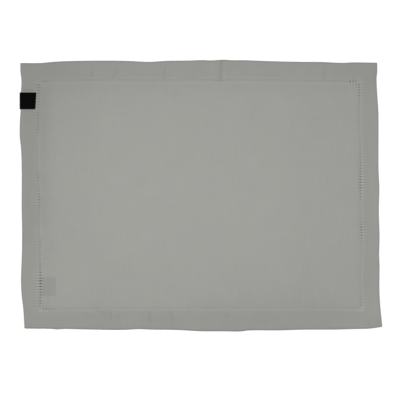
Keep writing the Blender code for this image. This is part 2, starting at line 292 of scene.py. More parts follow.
# The black stitches that hold the label's inner end
TACK_RADIUS = 0.00014
TACK_LENGTH = 0.0019
TACK_PITCH = 0.0027
TACK_COUNT = 8
TACK_INSET = 0.0014
TACK_POINTS = 5
TACK_SINK = 0.4                 # how far its ends sink into the label, as a share of its radius

# The tab: a short woven strip on the table under the cloth
TAB_THICKNESS = 0.00040
TAB_LEFT_X = -0.2175
TAB_RIGHT_X = -0.1948
TAB_BOTTOM_Y = -0.1351
TAB_TOP_Y = -0.1096
TAB_CELLS = 20
LEAF_EDGE_SHARE = 0.45          # a woven strip thins to this at its edges

# Where the cloth rides up over the label's lower leaf and over the tab
LIFT = 0.00048
LIFT_MARGIN = 0.0015
LIFT_FADE = 0.0100
LABEL_SQUEEZE = 0.00028         # how much the label's stitches thin the hem
BENEATH = (
    (LABEL_OUTER_X, LABEL_OUTER_X + LABEL_TOP_REACH, LABEL_BOTTOM_Y, LABEL_TOP_Y),
    (TAB_LEFT_X, TAB_RIGHT_X, TAB_BOTTOM_Y, TAB_TOP_Y),
)

# Materials. A noise is given by its lumps per metre in X, Y and Z, and its detail.
LINEN_COLOR = (0.2627, 0.2614, 0.2455, 1.0)
LINEN_ROUGHNESS = 0.92
LINEN_SPECULAR = 0.20
LINEN_SHEEN = 0.10
SHEEN_ROUGHNESS = 0.50
YARN_PITCH = 0.00062
YARN_WANDER = 0.0012            # how far the yarns stray from straight lines
UPRIGHT_STRAY = ((90.0, 45.0, 0.0), 2.0)
LEVEL_STRAY = ((45.0, 90.0, 0.0), 2.0)
UPRIGHT_SLUBS = ((1250.0, 26.0, 0.0), 2.0)
LEVEL_SLUBS = ((22.0, 1250.0, 0.0), 2.0)
MOTTLING = ((34.0, 34.0, 0.0), 3.0)
WEAVE_DEPTH_SHADE = 0.17               # painted shade in the weave: how much lighter its tops are than its depths
SLUB_TONE = 0.050               # how much lighter or darker the slubs are
MOTTLING_TONE = 0.030
SLUB_RELIEF = 0.35              # how far the slubs rise, against 1 for the weave
LINEN_BUMP = (0.00014, 0.70)    # depth and strength of the relief
TAB_SHADE = 0.105               # how much darker the cloth looks over the tab
TAB_BLUR = 0.0008
THREAD_COLOR = (0.302, 0.298, 0.281, 1.0)
THREAD_ROUGHNESS = 0.75
THREAD_SPECULAR = 0.25
TWIST_PITCH = 0.00016
# painted light and shade along the twist, following its relief
TWIST_LIGHT_AND_SHADE = 0.06
TWIST_BUMP = (0.00004, 0.50)
BLACK_COLOR = (0.0012, 0.0012, 0.0012, 1.0)
BLACK_SPECULAR = 0.02
LABEL_ROUGHNESS = 0.60
TAB_ROUGHNESS = 0.80
RIB_PITCH = 0.00036
BLACK_YARNS = ((420.0, 2600.0, 0.0), 1.0)
BLACK_TONE = 0.85               # between the ribs, where painted shade falls
RIB_HIGHLIGHT = 0.30                 # how much lighter the ribs are, as painted light
BLACK_YARN_TONE = 0.35
BLACK_YARN_RELIEF = 0.30
BLACK_BUMP = (0.00006, 0.60)

# Stage
FLOOR_SIDE = 40.0
FLOOR_DROP = 0.0002
FLOOR_COLOR = (0.93, 0.93, 0.93, 1.0)
FLOOR_ROUGHNESS = 1.0
FLOOR_SPECULAR = 0.0
WORLD_COLOR = (1.0, 1.0, 1.0, 1.0)
WORLD_STRENGTH = 0.42
SUN_STRENGTH = 1.61
SUN_ANGLE = radians(24)
SUN_TILT = radians(38)          # from straight above
SUN_TURN = radians(42)          # from the upper edge towards the left one
LAMP_SIZE = (0.66, 0.06)
LAMP_PLACE = (-0.020, -0.003, 0.551)
LAMP_POWER = 1.92

# Camera: straight above, at the photo's scale
LENS = 85.0                     # in millimetres, as is the sensor
SENSOR = 36.0
VIEW_WIDTH = 0.5378
VIEW_CENTRE = (-0.0012, -0.0060)

# The sides of the channels' rectangle, each with half its length
SIDES = {"top": HALF_X, "bottom": HALF_X, "left": HALF_Y, "right": HALF_Y}
SEED = 7


# Curves and the section of the cloth, all on arrays of plan distances

def along(rows, place):
    """Read a table of (place, value) rows as one smooth curve through them."""
    places, values = np.array(rows).T
    before = np.maximum(np.arange(len(rows)) - 1, 0)
    after = np.minimum(np.arange(len(rows)) + 1, len(rows) - 1)
    slopes = (values[after] - values[before]) / (places[after] - places[before])
    place = np.clip(place, places[0], places[-1])
    index = np.clip(np.searchsorted(places, place, side="right") - 1, 0, len(rows) - 2)
    span = places[index + 1] - places[index]
    share = (place - places[index]) / span
    rise = values[index + 1] - values[index]
    leave = slopes[index] * span
    arrive = slopes[index + 1] * span
    square = share * share * (3.0 * rise - 2.0 * leave - arrive)
    return values[index] + share * leave + square + share ** 3 * (leave + arrive - 2.0 * rise)


def ease(share):
    """A share from 0 to 1 that starts and ends gently."""
    share = np.clip(share, 0.0, 1.0)
    return share * share * (3.0 - 2.0 * share)


def blend(start, end, share):
    """The value that lies a share of the way from start to end."""
    return start + (end - start) * share


def stretched(distance, half_channel, hem, low_channel, high_channel, low_edge, high_edge):
    """Move a plan distance so that channels and edges come to where they lie."""
    panel = blend(low_channel, high_channel, (distance / half_channel + 1.0) / 2)
    below = blend(low_channel, low_edge, (-distance - half_channel) / hem)
    above = blend(high_channel, high_edge, (distance - half_channel) / hem)
    return np.where(distance < -half_channel, below, np.where(distance > half_channel, above, panel))


def on_table(across, up):
    """Where on the table a point of the plan lies."""
    x, y = across, up
    for _ in range(PLACING_ROUNDS):
        skew = -MAT_SKEW * y / (MAT_DEPTH / 2)
        x = stretched(
            across, HALF_X, HEM_X,
            -HALF_X - along(LEFT_CHANNEL, y), HALF_X + along(RIGHT_CHANNEL, y),
            skew - MAT_WIDTH / 2 - along(LEFT_EDGE, y), skew + MAT_WIDTH / 2 + along(RIGHT_EDGE, y),
        )
        y = stretched(
            up, HALF_Y, HEM_Y,
            -HALF_Y - along(BOTTOM_CHANNEL, x), HALF_Y + along(TOP_CHANNEL, x),
            -MAT_DEPTH / 2 - along(BOTTOM_EDGE, x), MAT_DEPTH / 2 + along(TOP_EDGE, x),
        )
    return x, y


def outward(across, up):
    """How far outside the channels' rectangle a point of the plan is, and less than 0 inside it."""
    gap_x = HALF_X - np.abs(across)
    gap_y = HALF_Y - np.abs(up)
    nearest = np.minimum(gap_x, gap_y)
    reach = np.clip(2.0 * nearest, NEAR_ZERO, CORNER_SOFTNESS)
    overlap = np.maximum(reach - np.abs(gap_x - gap_y), 0.0) / reach
    return overlap * overlap * reach / 4 - nearest


def opening(across, up):
    """How far the nearest part of the drawn strip has opened, from 0 to 1."""
    upright = np.where(across < 0, along(LEFT_OPENING, up), along(RIGHT_OPENING, up))
    level = np.where(up < 0, along(BOTTOM_OPENING, across), along(TOP_OPENING, across))
    return np.where(HALF_X - np.abs(across) < HALF_Y - np.abs(up), upright, level)


def gather(across, up, out):
    """How far the cloth is gathered: up to 1 at the bundles of the hemstitching, to -1 between them."""
    upright = HALF_X - np.abs(across) < HALF_Y - np.abs(up)
    place = np.where(upright, up, across)
    last = np.where(upright, HALF_Y, HALF_X) - STRIP_IN
    pitch = 2.0 * last / np.where(upright, stitches(HALF_Y), stitches(HALF_X))
    ripple = np.cos(2 * pi * (place + last) / pitch)
    fading = np.exp(-np.abs(out) / np.where(out > 0, GATHER_REACH_OUT, GATHER_REACH_IN))
    return opening(across, up) ** 2 * ripple * fading * (np.abs(place) < last + PLACE_TOLERANCE)


def covered(x, y, left, right, bottom, top):
    """How fully the cloth is lifted by the thing in a box beneath it: 1 over it, 0 well away."""
    past_x = np.maximum(np.maximum(left - LIFT_MARGIN - x, x - right - LIFT_MARGIN), 0.0)
    past_y = np.maximum(np.maximum(bottom - LIFT_MARGIN - y, y - top - LIFT_MARGIN), 0.0)
    return 1.0 - ease(np.hypot(past_x, past_y) / LIFT_FADE)


def unevenness(x, y):
    """The slight rise and fall of cloth that was laid down by hand, never below 0."""
    height = 0.0
    for waves_x, waves_y, phase, rise in WAVES:
        height = height + rise * (1.0 + np.sin(2 * pi * (waves_x * x + waves_y * y) + phase)) / 2
    return height


def strokes(rows, x, y):
    """The sum of soft strokes, each along a line on the table, with a reach and a strength of its own."""
    total = np.zeros_like(x)
    for from_x, from_y, to_x, to_y, reach, strength in rows:
        length = hypot(to_x - from_x, to_y - from_y)
        way_x, way_y = (to_x - from_x) / length, (to_y - from_y) / length
        place = np.clip((x - from_x) * way_x + (y - from_y) * way_y, 0.0, length)
        away = np.hypot(x - from_x - place * way_x, y - from_y - place * way_y)
        total += strength * np.exp(-(away / reach) ** 2)
    return total


def solid(points):
    """Turn plan points (across, up, depth) into places in space."""
    across, up, depth = np.array(points).T
    x, y = on_table(across, up)
    out = outward(across, up)
    distances, lows, highs = zip(*SECTION)
    low = np.interp(out, distances, lows)
    high = np.interp(out, distances, highs)
    in_hem = ease((out + STRIP_OUT) / (2 * STRIP_OUT))
    loose = unevenness(x, y)
    relief = strokes(CREASES, x, y)
    over_label, over_tab = (covered(x, y, *box) for box in BENEATH)
    lift = LIFT * (over_label + over_tab)
    low = low + lift + (1.0 - in_hem) * (loose + np.maximum(relief, 0.0))
    gathered = GATHER_RISE * gather(across, up, out)
    high = high + lift - LABEL_SQUEEZE * over_label + loose + relief + gathered
    return np.column_stack((x, y, blend(low, high, depth)))


# The mesh of the cloth

class Plan:
    """Points of the cloth on its plan and the faces between them, welded wherever two points agree."""

    def __init__(self):
        self.points = []
        self.faces = []
        self.index = {}

    def point(self, across, up, depth):
        """The number of a point, which is made if it isn't there yet."""
        key = tuple(round(value, PLACE_DIGITS) for value in (across, up, depth))
        if key not in self.index:
            self.index[key] = len(self.points)
            self.points.append((across, up, depth))
        return self.index[key]

    def grid(self, columns, rows, depth):
        """Quads between the lines of a grid."""
        for low, high in zip(rows, rows[1:]):
            for left, right in zip(columns, columns[1:]):
                corners = ((left, low), (right, low), (right, high), (left, high))
                self.faces.append([self.point(*corner, depth) for corner in corners])

    def fan(self, border, middle, depth):
        """Triangles between a closed border of plan places and its middle."""
        centre = self.point(*middle, depth)
        loop = [self.point(*place, depth) for place in border]
        for near, far in zip(loop, loop[1:] + loop[:1]):
            self.faces.append([near, far, centre])

    def band(self, loop, next_loop):
        """Quads between two closed loops with as many points each."""
        for i in range(len(loop)):
            j = (i + 1) % len(loop)
            self.faces.append([loop[i], loop[j], next_loop[j], next_loop[i]])

    def web(self, outer, inner, centre):
        """Triangles between two closed loops round a centre, with any number of points each."""
        def turn(number):
            return atan2(self.points[number][1] - centre[1], self.points[number][0] - centre[0])
        outer = sorted(outer, key=turn)
        inner = sorted(inner, key=turn)
        i = j = 0
        while i < len(outer) or j < len(inner):
            outer_turn = turn(outer[(i + 1) % len(outer)]) + 2 * pi * (i + 1 >= len(outer))
            inner_turn = turn(inner[(j + 1) % len(inner)]) + 2 * pi * (j + 1 >= len(inner))
            here, there = outer[i % len(outer)], inner[j % len(inner)]
            if j == len(inner) or (i < len(outer) and outer_turn <= inner_turn):
                i += 1
                self.faces.append([here, outer[i % len(outer)], there])
            else:
                j += 1
                self.faces.append([here, inner[j % len(inner)], there])

    def pierce(self, border, centre, half_across, half_up):
        """Fill a border of plan places with cloth on both sides, round a hole with soft lips."""
        rings = []
        for grow, depth in LIP_SECTION:
            ring = []
            for step in range(HOLE_POINTS):
                angle = 2 * pi * step / HOLE_POINTS
                ring.append(self.point(
                    centre[0] + (half_across + grow) * cos(angle),
                    centre[1] + (half_up + grow) * sin(angle),
                    depth,
                ))
            rings.append(ring)
        self.web([self.point(*place, 1.0) for place in border], rings[0], centre)
        for ring, next_ring in zip(rings, rings[1:]):
            self.band(ring, next_ring)
        self.web([self.point(*place, 0.0) for place in border], rings[-1], centre)


def stitches(half):
    """How many stitches there are along a channel that reaches half to each side."""
    return round(2 * (half - STRIP_IN) / STITCH_PITCH)


def evenly(start, end, cells):
    """Places from start to end, both included."""
    return [blend(start, end, i / cells) for i in range(cells + 1)]


def strip_lines(half):
    """The lines across a drawn strip between its corners, several to a stitch."""
    return evenly(-half + STRIP_IN, half - STRIP_IN, stitches(half) * CELLS_PER_STITCH)


def bundle_lines(half):
    """The lines across a drawn strip at its bundles, one to a stitch."""
    return strip_lines(half)[::CELLS_PER_STITCH]


def mirrored(middle, outer):
    """Lines with more of them beyond both ends, given for one end."""
    return [-place for place in outer[::-1]] + middle + outer


def fine_lines(half):
    """The lines across a drawn strip with its corners, several to a stitch."""
    return mirrored(strip_lines(half), evenly(half - STRIP_IN, half + STRIP_OUT, STRIP_CELLS)[1:])


def hem_lines(half, hem):
    """The lines along a hem, from the drawn strip to where the outer fold starts."""
    return [blend(half + STRIP_OUT, half + hem, share) for share in HEM_ROWS]


def full_lines(half, hem):
    """All lines from one fold to the other."""
    return mirrored(fine_lines(half), hem_lines(half, hem)[1:])


def round_cell(bottom, right, top, left):
    """The places round a cell, from the lines that meet each of its sides."""
    return (
        [(x, right[0]) for x in bottom[:-1]]
        + [(bottom[-1], y) for y in right[:-1]]
        + [(x, right[-1]) for x in top[:0:-1]]
        + [(bottom[0], y) for y in left[:0:-1]]
    )


def place_on_side(side, place, out):
    """The plan place that lies a way along one side of the channels' rectangle, and so far out from it."""
    return {
        "top": (place, HALF_Y + out),
        "bottom": (place, -HALF_Y - out),
        "left": (-HALF_X - out, place),
        "right": (HALF_X + out, place),
    }[side]


def stitch_lines(half, number):
    """The lines at one stitch: at its two bundles and between them."""
    return strip_lines(half)[number * CELLS_PER_STITCH:(number + 1) * CELLS_PER_STITCH + 1]


def cell_border(side, lines):
    """The border of one stitch's cell of the drawn strip, as plan places."""
    outs = evenly(-STRIP_IN, STRIP_OUT, STRIP_CELLS)
    return [place_on_side(side, line, out) for out, line in round_cell(outs, lines, outs, lines)]


def add_drawn_strip(plan, side, chance):
    """The row of stitch holes along one side, with a bundle of threads between each two."""
    half = SIDES[side]
    for number in range(stitches(half)):
        cell = stitch_lines(half, number)
        shift = chance.uniform(-HOLE_SHIFT, HOLE_SHIFT, 2)
        centre = place_on_side(side, (cell[0] + cell[-1]) / 2 + shift[0], shift[1])
        size = opening(*np.array(centre)) * chance.uniform(1 - HOLE_VARIETY, 1 + HOLE_VARIETY)
        sizes = (HOLE_ALONG * size, HOLE_ACROSS * size)
        if side in ("left", "right"):
            sizes = sizes[::-1]
        plan.pierce(cell_border(side, cell), centre, *sizes)


def add_strip_corner(plan, way_x, way_y):
    """The square where two drawn strips cross, with one hole in it."""
    lines = evenly(-STRIP_IN, STRIP_OUT, STRIP_CELLS)
    ends = (lines[0], lines[-1])
    border = [(x, y) for x in lines for y in lines if x in ends or y in ends]
    places = [(way_x * (HALF_X + x), way_y * (HALF_Y + y)) for x, y in border]
    centre = (way_x * HALF_X, way_y * HALF_Y)
    plan.pierce(places, centre, CORNER_HOLE, CORNER_HOLE)


def add_panel_rim(plan, depth):
    """The outermost cells of the panel, which have the drawn strip's fine lines on their outer edges."""
    last_column, last_row = stitches(HALF_X) - 1, stitches(HALF_Y) - 1
    for i in range(last_column + 1):
        for j in range(last_row + 1):
            if i not in (0, last_column) and j not in (0, last_row):
                continue
            across = stitch_lines(HALF_X, i)
            up = stitch_lines(HALF_Y, j)
            left = up if i == 0 else up[::CELLS_PER_STITCH]
            right = up if i == last_column else up[::CELLS_PER_STITCH]
            bottom = across if j == 0 else across[::CELLS_PER_STITCH]
            top = across if j == last_row else across[::CELLS_PER_STITCH]
            middle = ((across[0] + across[-1]) / 2, (up[0] + up[-1]) / 2)
            plan.fan(round_cell(bottom, right, top, left), middle, depth)


def add_fold(plan):
    """The rounded outer fold, as rings from the face round to the underside."""
    columns = full_lines(HALF_X, HEM_X)
    rows = full_lines(HALF_Y, HEM_Y)
    limits = (columns[-1], rows[-1])
    rings = []
    for step in range(FOLD_STEPS + 1):
        angle = pi / 2 - pi * step / FOLD_STEPS
        share = blend(HEM_ROWS[-1], 1.0, cos(angle))
        outer = (
            blend(HALF_X + STRIP_OUT, HALF_X + HEM_X, share),
            blend(HALF_Y + STRIP_OUT, HALF_Y + HEM_Y, share),
        )
        ring = []
        for place in round_cell(columns, rows, columns, rows):
            moved = [
                copysign(new, value) if abs(abs(value) - limit) < NEAR_ZERO else value
                for value, limit, new in zip(place, limits, outer)
            ]
            ring.append(plan.point(*moved, (1.0 + sin(angle)) / 2))
        rings.append(ring)
    for ring, next_ring in zip(rings, rings[1:]):
        plan.band(ring, next_ring)


def cloth_plan():
    """The whole cloth: panel, drawn strips, hem and fold, face and underside."""
    plan = Plan()
    chance = np.random.default_rng(SEED)
    for depth in (0.0, 1.0):
        plan.grid(bundle_lines(HALF_X)[1:-1], bundle_lines(HALF_Y)[1:-1], depth)
        add_panel_rim(plan, depth)
        for way in (-1, 1):
            plan.grid(full_lines(HALF_X, HEM_X), [way * y for y in hem_lines(HALF_Y, HEM_Y)], depth)
            plan.grid([way * x for x in hem_lines(HALF_X, HEM_X)], fine_lines(HALF_Y), depth)
    for side in SIDES:
        add_drawn_strip(plan, side, chance)
    for way_x in (-1, 1):
        for way_y in (-1, 1):
            add_strip_corner(plan, way_x, way_y)
    add_fold(plan)
    return plan


# Making pieces

def put(name, data):
    """An object in the scene for a mesh, a light or a camera."""
    made = bpy.data.objects.new(name, data)
    bpy.context.scene.collection.objects.link(made)
    return made


def mesh_piece(name, places, faces, material, sharp_angle):
    """A mesh object from places in space and faces, with its faces pointing out."""
    mesh = bpy.data.meshes.new(name)
    mesh.from_pydata([tuple(place) for place in places], [], faces)
    shape = bmesh.new()
    shape.from_mesh(mesh)
    bmesh.ops.recalc_face_normals(shape, faces=shape.faces)
    shape.to_mesh(mesh)
    shape.free()
    mesh.shade_smooth()
    mesh.set_sharp_from_angle(angle=sharp_angle)
    mesh.materials.append(material)
    return put(name, mesh)


def cloth_shade(points):
    """How much darker than the open panel the cloth looks at plan points."""
    across, up, _ = np.array(points).T
    out = outward(across, up)
    x, y = on_table(across, up)
    deep = np.maximum(-strokes(CREASES, x, y), 0.0)
    shade = np.interp(out, *zip(*SHADE)) + strokes(PAINTED_LIGHT_AND_SHADE, x, y) + CREASE_SHADE * deep
    sunk = opening(across, up) ** 2 * np.exp(-((out + SINK_PLACE) / SINK_REACH) ** 2)
    to_left = ease((-across - MAT_WIDTH / 2 + RIM_INSET) / RIM_INSET)
    to_top = ease((up - MAT_DEPTH / 2 + RIM_INSET) / RIM_INSET)
    shade = shade + SINK_SHADE * sunk + RIM_SHADE * np.maximum(to_left, to_top)
    return shade - GATHER_LIGHT_AND_SHADE * gather(across, up, out)


def keep_shade(piece, shade):
    """Store a mesh's shade, point by point, where its material reads it."""
    kept = piece.data.attributes.new("shade", "FLOAT", "POINT")
    kept.data.foreach_set("value", shade.astype(np.float32))


def make_cloth(material):
    """The placemat's cloth as one closed thin sheet."""
    plan = cloth_plan()
    piece = mesh_piece("linen_cloth", solid(plan.points), plan.faces, material, ALL_SMOOTH)
    across, up, depth = np.array(plan.points).T
    in_hole = (depth > 0.0) & (depth < LIP_FACE_DEPTH) & (outward(across, up) <= STRIP_OUT)
    keep_shade(piece, cloth_shade(plan.points) + HOLE_SHADE * in_hole)
    return piece


def tube(path, radius, sides):
    """The places and faces of a closed tube along a path in space."""
    path = np.array(path)
    ways = np.gradient(path, axis=0)
    ways /= np.linalg.norm(ways, axis=1)[:, None]
    aside = np.cross(ways, (0.0, 0.0, 1.0))
    aside /= np.linalg.norm(aside, axis=1)[:, None]
    upward = np.cross(aside, ways)
    places = []
    for middle, right, high in zip(path, aside, upward):
        for step in range(sides):
            angle = 2 * pi * step / sides
            places.append(middle + radius * (right * cos(angle) + high * sin(angle)))
    faces = [list(range(sides)), list(range(len(places) - sides, len(places)))]
    for ring in range(len(path) - 1):
        for step in range(sides):
            near, far = ring * sides + step, ring * sides + (step + 1) % sides
            faces.append([near, far, far + sides, near + sides])
    return places, faces


def joined(parts):
    """Many lists of places and faces as one."""
    places, faces = [], []
    for part_places, part_faces in parts:
        start = len(places)
        places += part_places
        faces += [[start + number for number in face] for face in part_faces]
    return places, faces


def stitch_paths(side):
    """The plan paths of the threads at each bundle along one side."""
    kinds = (
        [(WRAP_PATH, 0.0, out) for out in WRAP_PLACES]
        + [(HEM_BITE_PATH, place, 0.0) for place in HEM_BITE_PLACES]
        + [(PANEL_BITE_PATH, place, 0.0) for place in PANEL_BITE_PLACES]
    )
    return [
        [(*place_on_side(side, line + aside + more, further + out), depth) for more, out, depth in path]
        for line in bundle_lines(SIDES[side])
        for path, aside, further in kinds
    ]


def back_paths(side):
    """The plan paths of the two strands that twist round each other behind one side's holes."""
    half = SIDES[side]
    steps = stitches(half) * BACK_STEPS
    paths = []
    for start_angle in (0.0, pi):
        path = []
        for step in range(steps + 1):
            angle = start_angle + 2 * pi * step / BACK_STEPS
            place = place_on_side(side, blend(-half, half, step / steps), BACK_SWING * cos(angle))
            path.append((*place, BACK_DEPTH + BACK_DEPTH_SWING * sin(angle)))
        paths.append(path)
    return paths


def threads(paths, radius, sides):
    """The places and faces of a tube along each of many plan paths, none of it below the table."""
    places = solid([point for path in paths for point in path])
    places[:, 2] = np.maximum(places[:, 2], radius)
    parts = []
    start = 0
    for path in paths:
        parts.append(tube(places[start:start + len(path)], radius, sides))
        start += len(path)
    return parts


def make_stitching(material):
    """The thread of the hemstitching: on the face at each bundle, and along the back."""
    face, back = [], []
    for side in SIDES:
        face += stitch_paths(side)
        back += back_paths(side)
    parts = threads(face, THREAD_RADIUS, THREAD_SIDES) + threads(back, BACK_RADIUS, BACK_SIDES)
    piece = mesh_piece("hemstitch_thread", *joined(parts), material, ALL_SMOOTH)
    face_points = [point for path in face for point in path]
    across, up, _ = np.array(face_points).T
    face_shade = cloth_shade(face_points) + CLOSED_SHADE * (1.0 - opening(across, up))
    keep_shade(piece, np.concatenate((
        np.repeat(face_shade, THREAD_SIDES),
        np.full(sum(len(path) for path in back) * BACK_SIDES, BACK_SHADE),
    )))
    return piece


def closed_sheet(name, front, back, material):
    """One closed body from two grids of places that face away from each other."""
    rows, columns = len(front), len(front[0])
    places = [place for row in front + back for place in row]
    behind = rows * columns
    faces = []
    for j in range(rows - 1):
        for i in range(columns - 1):
            quad = [j * columns + i, j * columns + i + 1, (j + 1) * columns + i + 1, (j + 1) * columns + i]
            faces.append(quad)
            faces.append([behind + number for number in quad])
    across, up = range(columns), range(rows)
    rim = [j * columns + i for i, j in round_cell(across, up, across, up)]
    for near, far in zip(rim, rim[1:] + rim[:1]):
        faces.append([near, far, behind + far, behind + near])
    return mesh_piece(name, places, faces, material, SHARP_ANGLE)


def edge_share(i, last, j, last_row):
    """How much of a woven strip's thickness is left at a point of its grid: less along its edges."""
    at_edge = i in (0, last) or j in (0, last_row)
    return LEAF_EDGE_SHARE if at_edge else 1.0


def label_line(reach):
    """The middle line of the label's section, as (x, z) and the way out (x, z), from its lower end round."""
    radius = (LABEL_UPPER_Z - LABEL_LOWER_Z) / 2
    middle_z = (LABEL_UPPER_Z + LABEL_LOWER_Z) / 2
    bend_x = LABEL_OUTER_X + LABEL_THICKNESS / 2 + radius
    end_x = LABEL_OUTER_X + reach
    bend = [
        (bend_x + radius * cos(angle), middle_z + radius * sin(angle), cos(angle), sin(angle))
        for angle in evenly(-pi / 2, -3 * pi / 2, LABEL_BEND_CELLS)
    ]
    lower = [(x, LABEL_LOWER_Z, 0.0, -1.0) for x in evenly(end_x, bend_x, LABEL_LEAF_CELLS)[:-1]]
    upper = [(x, LABEL_UPPER_Z, 0.0, 1.0) for x in evenly(bend_x, end_x, LABEL_LEAF_CELLS)[1:]]
    return lower + bend + upper


def make_label(material):
    """The label: a bare woven strip, folded over the hem and lying slightly uneven."""
    front, back = [], []
    for j in range(LABEL_ROWS + 1):
        share = j / LABEL_ROWS
        y = blend(LABEL_BOTTOM_Y, LABEL_TOP_Y, share)
        reach = blend(LABEL_BOTTOM_REACH, LABEL_TOP_REACH, share) - LABEL_CORNER * (j in (0, LABEL_ROWS))
        line = label_line(reach)
        front_row, back_row = [], []
        for i, (x, z, way_x, way_z) in enumerate(line):
            half = LABEL_THICKNESS / 2 * edge_share(i, len(line) - 1, j, LABEL_ROWS)
            wave = LABEL_WAVE * sin(2 * pi * (x * LABEL_WAVES[0] + y * LABEL_WAVES[1])) * (way_z == 1.0)
            front_row.append((x + half * way_x, y, z + half * way_z + wave))
            back_row.append((x - half * way_x, y, z - half * way_z + wave))
        front.append(front_row)
        back.append(back_row)
    return closed_sheet("label_strip", front, back, material)


def make_tacks(material):
    """The black stitches along the label's inner end."""
    parts = []
    x = LABEL_OUTER_X + LABEL_BOTTOM_REACH - TACK_INSET
    top = LABEL_UPPER_Z + LABEL_THICKNESS / 2
    first = (LABEL_BOTTOM_Y + LABEL_TOP_Y - TACK_PITCH * (TACK_COUNT - 1)) / 2
    for number in range(TACK_COUNT):
        path = []
        for step in range(TACK_POINTS):
            share = step / (TACK_POINTS - 1)
            y = first + number * TACK_PITCH + (share - 0.5) * TACK_LENGTH
            path.append((x, y, top + TACK_RADIUS * (sin(pi * share) - TACK_SINK)))
        parts.append(tube(path, TACK_RADIUS, THREAD_SIDES))
    return mesh_piece("label_tacks", *joined(parts), material, ALL_SMOOTH)


def make_tab(material):
    """The tab: a bare woven strip, flat on the table under the cloth."""
    middle = TAB_THICKNESS / 2

    def side(way):
        return [
            [(x, y, middle + way * middle * edge_share(i, TAB_CELLS, j, TAB_CELLS))
             for i, x in enumerate(evenly(TAB_LEFT_X, TAB_RIGHT_X, TAB_CELLS))]
            for j, y in enumerate(evenly(TAB_BOTTOM_Y, TAB_TOP_Y, TAB_CELLS))
        ]
    return closed_sheet("tab_strip", side(1), side(-1), material)


# Materials

class Nodes:
    """A material's nodes, made by short calls."""

    def __init__(self, name, color, roughness, specular):
        self.material = bpy.data.materials.new(name)
        self.material.use_nodes = True
        self.tree = self.material.node_tree
        self.shader = self.tree.nodes["Principled BSDF"]
        self.shader.inputs["Base Color"].default_value = color
        self.shader.inputs["Roughness"].default_value = roughness
        self.shader.inputs["Specular IOR Level"].default_value = specular
        coordinates = self.tree.nodes.new("ShaderNodeTexCoord")
        self.place = coordinates.outputs["Object"]
        split = self.tree.nodes.new("ShaderNodeSeparateXYZ")
        self.tree.links.new(self.place, split.inputs[0])
        self.x, self.y, self.z = split.outputs

    def feed(self, socket, value):
        """Set an input to a number, or link it to another node's output."""
        if isinstance(value, bpy.types.NodeSocket):
            self.tree.links.new(value, socket)
        else:
            socket.default_value = value

    def math(self, operation, *values):
        """One Math node's result."""
        node = self.tree.nodes.new("ShaderNodeMath")
        node.operation = operation
        for socket, value in zip(node.inputs, values):
            self.feed(socket, value)
        return node.outputs[0]

    def attribute(self, name):
        """The value that a mesh holds point by point."""
        node = self.tree.nodes.new("ShaderNodeAttribute")
        node.attribute_name = name
        return node.outputs["Fac"]

    def noise(self, scales, detail):
        """Noise from -1 to 1 about 0, with its own number of lumps per metre in X, Y and Z."""
        scaled = self.tree.nodes.new("ShaderNodeVectorMath")
        scaled.operation = "MULTIPLY"
        self.feed(scaled.inputs[0], self.place)
        scaled.inputs[1].default_value = scales
        noise = self.tree.nodes.new("ShaderNodeTexNoise")
        noise.inputs["Scale"].default_value = 1.0
        noise.inputs["Detail"].default_value = detail
        self.feed(noise.inputs["Vector"], scaled.outputs[0])
        return self.math("MULTIPLY_ADD", noise.outputs["Fac"], 2.0, -1.0)

    def bands(self, coordinate, pitch):
        """A sine that changes sign at each yarn."""
        return self.math("SINE", self.math("MULTIPLY", coordinate, pi / pitch))

    def plain_weave(self, pitch, wander):
        """The height of a plain weave, from 0 to 1, whose yarns run over and under each other and wander."""
        strayed_x = self.math("MULTIPLY_ADD", self.noise(*UPRIGHT_STRAY), wander, self.x)
        strayed_y = self.math("MULTIPLY_ADD", self.noise(*LEVEL_STRAY), wander, self.y)
        upright = self.bands(strayed_x, pitch)
        level = self.bands(strayed_y, pitch)
        over = self.math("MULTIPLY_ADD", self.math("MULTIPLY", upright, level), 0.5, 0.5)
        under = self.math("SUBTRACT", 1.0, over)
        upper = self.math("MULTIPLY", self.math("ABSOLUTE", upright), over)
        return self.math("MULTIPLY_ADD", self.math("ABSOLUTE", level), under, upper)

    def between(self, coordinate, low, high, blur):
        """1 where a coordinate lies between two values, 0 outside, with blurred ends."""
        away = self.math("ABSOLUTE", self.math("SUBTRACT", coordinate, (low + high) / 2))
        past = self.math("SUBTRACT", away, (high - low) / 2)
        share = self.math("MULTIPLY_ADD", past, -1.0 / blur, 0.5)
        return self.math("MINIMUM", self.math("MAXIMUM", share, 0.0), 1.0)

    def tint(self, color, tone):
        """The shader's colour: a fixed colour times a tone."""
        scaled = self.tree.nodes.new("ShaderNodeVectorMath")
        scaled.operation = "SCALE"
        scaled.inputs[0].default_value = color[:3]
        self.feed(scaled.inputs["Scale"], tone)
        self.tree.links.new(scaled.outputs[0], self.shader.inputs["Base Color"])

    def bump(self, height, distance, strength):
        """Relief from a height between 0 and 1."""
        node = self.tree.nodes.new("ShaderNodeBump")
        node.inputs["Strength"].default_value = strength
        node.inputs["Distance"].default_value = distance
        self.tree.links.new(height, node.inputs["Height"])
        self.tree.links.new(node.outputs["Normal"], self.shader.inputs["Normal"])


